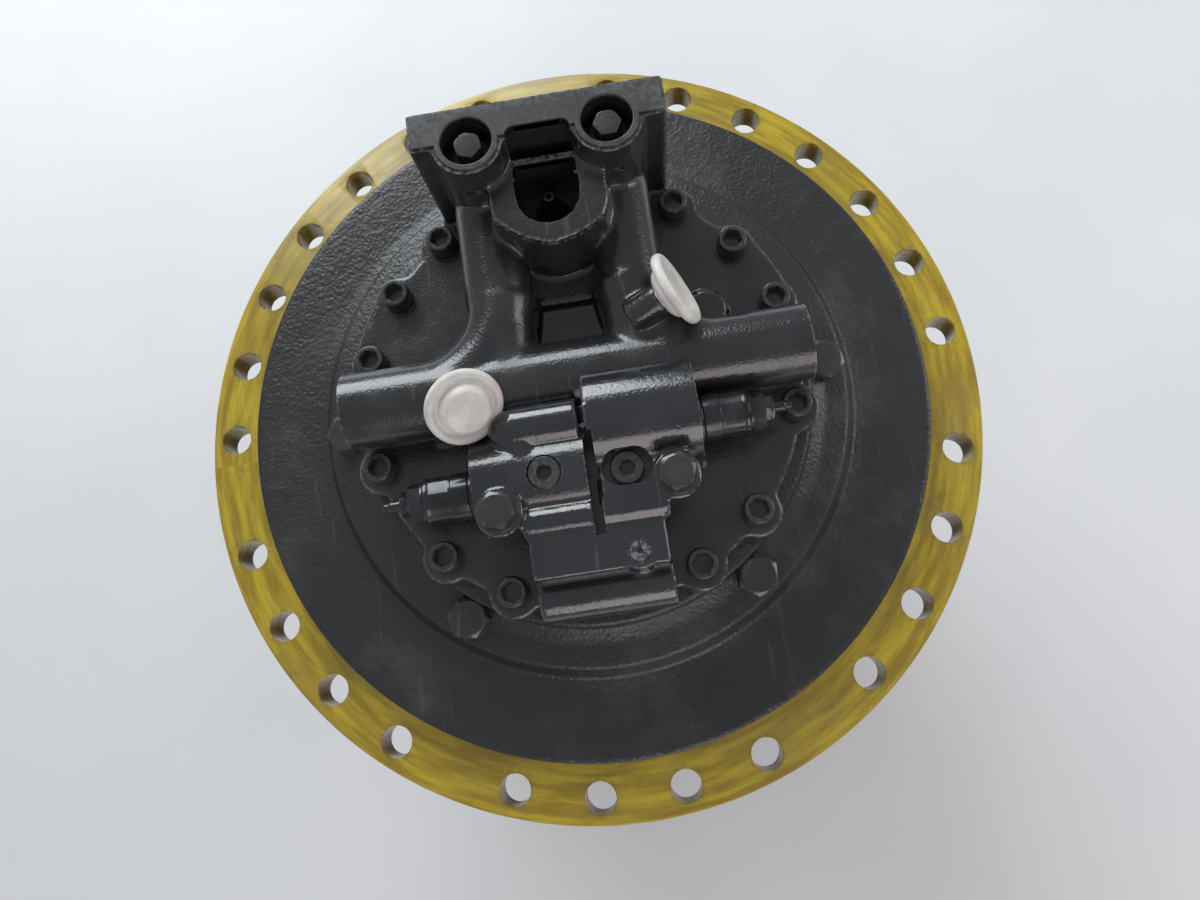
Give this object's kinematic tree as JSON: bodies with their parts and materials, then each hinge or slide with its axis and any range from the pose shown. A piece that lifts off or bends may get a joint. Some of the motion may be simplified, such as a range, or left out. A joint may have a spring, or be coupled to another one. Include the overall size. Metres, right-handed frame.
{
  "type": "excavator final drive",
  "caption": "Track final drive: hydraulic travel motor with a ported cover and valve block over a planetary gearbox, with a drilled mounting ring and a sprocket hub.",
  "frame": {"origin": "centre of the raised centring disc, level with the mating face of the mounting ring", "axes": "+Z along the axis of rotation towards the motor side, +Y towards the port block, +X to the right seen from the motor side"},
  "size_m": [0.69, 0.6898, 0.645],
  "materials": {
    "casing_paint": "satin black paint over rough casting",
    "cover_paint": "satin black paint over casting",
    "valve_paint": "glossy black paint",
    "black_fasteners": "black paint over steel",
    "cap_plastic": "soft translucent plastic",
    "spring_steel": "oiled spring steel",
    "gear_steel": "ground and oiled",
    "bearing_steel": "ground",
    "carrier_iron": "machined casting",
    "seal_rubber": "moulded",
    "motor_steel": "machined and oiled",
    "bronze": "bearing bronze"
  },
  "bodies": {
    "casing": {"motor_casing": "casing_paint", "motor_cover": "cover_paint", "cover_screws": "black_fasteners", "casing_bolts": "black_fasteners", "main_port_plugs": "black_fasteners", "drain_fitting": "black_fasteners", "counterbalance_valve_body": "valve_paint", "relief_valve_left": "black_fasteners", "relief_valve_right": "black_fasteners", "relief_locknuts": "black_fasteners", "relief_adjusters": "black_fasteners", "valve_bolts": "black_fasteners", "socket_plugs": "black_fasteners", "orifice_plug": "black_fasteners", "port_cap_left": "cap_plastic", "port_cap_right": "cap_plastic", "spool_end_plugs": "black_fasteners", "centring_springs": "spring_steel", "shaft_bearing_front": "bearing_steel", "shaft_bearing_rear": "bearing_steel", "shaft_seal": "seal_rubber", "valve_plate": "bronze", "swash_plate": "motor_steel", "brake_steel_plates": "motor_steel", "brake_disc_spring": "spring_steel", "floating_seal_upper": "bearing_steel", "main_bearing_inner_rings": "bearing_steel", "bearing_nut": "bearing_steel", "carrier_2": "carrier_iron", "carrier_screws": "motor_steel", "planet_pins_2": "gear_steel", "planet_bearings_2": "bearing_steel"},
    "hub_drum": {"hub": "casing_paint", "ring_gear": "casing_paint", "gearbox_cover": "casing_paint", "gearbox_cover_screws": "black_fasteners", "gearbox_plugs": "black_fasteners", "main_bearing_outer_rings": "bearing_steel", "floating_seal_lower": "bearing_steel"},
    "bearing_rows": {"main_bearing_rollers": "bearing_steel"},
    "drive_line": {"drive_shaft": "gear_steel", "sun_gear_1": "gear_steel", "cylinder_block": "motor_steel", "pistons": "motor_steel", "piston_shoes": "bronze", "retainer_plate": "motor_steel", "brake_friction_discs": "bronze"},
    "first_carrier": {"carrier_1": "carrier_iron", "sun_gear_2": "gear_steel", "planet_pins_1": "gear_steel", "planet_bearings_1": "bearing_steel"},
    "brake_piston": {"brake_piston": "motor_steel"},
    "spool": {"counterbalance_spool": "gear_steel"},
    "planet_1a": {"planet_1a": "gear_steel"},
    "planet_1b": {"planet_1b": "gear_steel"},
    "planet_1c": {"planet_1c": "gear_steel"},
    "planet_2a": {"planet_2a": "gear_steel"},
    "planet_2b": {"planet_2b": "gear_steel"},
    "planet_2c": {"planet_2c": "gear_steel"},
    "planet_2d": {"planet_2d": "gear_steel"}
  },
  "joints": [
    {"name": "hub_spin", "type": "hinge", "parent": "casing", "child": "hub_drum", "pos_m": [0, 0, -0.17], "axis": [0, 0, 1], "continuous": true},
    {"name": "roller_spin", "type": "hinge", "parent": "casing", "child": "bearing_rows", "pos_m": [0, 0, -0.12], "axis": [0, 0, 1], "continuous": true},
    {"name": "drive_spin", "type": "hinge", "parent": "casing", "child": "drive_line", "pos_m": [0, 0, -0.1], "axis": [0, 0, 1], "continuous": true},
    {"name": "first_carrier_spin", "type": "hinge", "parent": "casing", "child": "first_carrier", "pos_m": [0, 0, -0.34], "axis": [0, 0, 1], "continuous": true},
    {"name": "planet_1a_spin", "type": "hinge", "parent": "first_carrier", "child": "planet_1a", "pos_m": [0.10725, 0, -0.37], "axis": [0, 0, 1], "continuous": true},
    {"name": "planet_1b_spin", "type": "hinge", "parent": "first_carrier", "child": "planet_1b", "pos_m": [-0.05362, 0.09288, -0.37], "axis": [0, 0, 1], "continuous": true},
    {"name": "planet_1c_spin", "type": "hinge", "parent": "first_carrier", "child": "planet_1c", "pos_m": [-0.05362, -0.09288, -0.37], "axis": [0, 0, 1], "continuous": true},
    {"name": "planet_2a_spin", "type": "hinge", "parent": "casing", "child": "planet_2a", "pos_m": [0.121, 0, -0.268], "axis": [0, 0, 1], "continuous": true},
    {"name": "planet_2b_spin", "type": "hinge", "parent": "casing", "child": "planet_2b", "pos_m": [0, 0.121, -0.268], "axis": [0, 0, 1], "continuous": true},
    {"name": "planet_2c_spin", "type": "hinge", "parent": "casing", "child": "planet_2c", "pos_m": [-0.121, 0, -0.268], "axis": [0, 0, 1], "continuous": true},
    {"name": "planet_2d_spin", "type": "hinge", "parent": "casing", "child": "planet_2d", "pos_m": [0, -0.121, -0.268], "axis": [0, 0, 1], "continuous": true},
    {"name": "brake_release", "type": "slide", "parent": "casing", "child": "brake_piston", "axis": [0, 0, 1], "range_m": [0, 0.0025], "deforming": ["brake_disc_spring"]},
    {"name": "spool_shift", "type": "slide", "parent": "casing", "child": "spool", "axis": [1, 0, 0], "range_m": [-0.008, 0.008], "stiffness_N_per_m": 2000}
  ],
  "couplings": [
    {"joint": "roller_spin", "follows": "hub_spin", "ratio": 0.5208},
    {"joint": "drive_spin", "follows": "hub_spin", "ratio": -33.32},
    {"joint": "first_carrier_spin", "follows": "hub_spin", "ratio": -3.4},
    {"joint": "planet_1a_spin", "follows": "hub_spin", "ratio": 10.317},
    {"joint": "planet_1b_spin", "follows": "hub_spin", "ratio": 10.317},
    {"joint": "planet_1c_spin", "follows": "hub_spin", "ratio": 10.317},
    {"joint": "planet_2a_spin", "follows": "hub_spin", "ratio": 2.8333},
    {"joint": "planet_2b_spin", "follows": "hub_spin", "ratio": 2.8333},
    {"joint": "planet_2c_spin", "follows": "hub_spin", "ratio": 2.8333},
    {"joint": "planet_2d_spin", "follows": "hub_spin", "ratio": 2.8333}
  ]
}
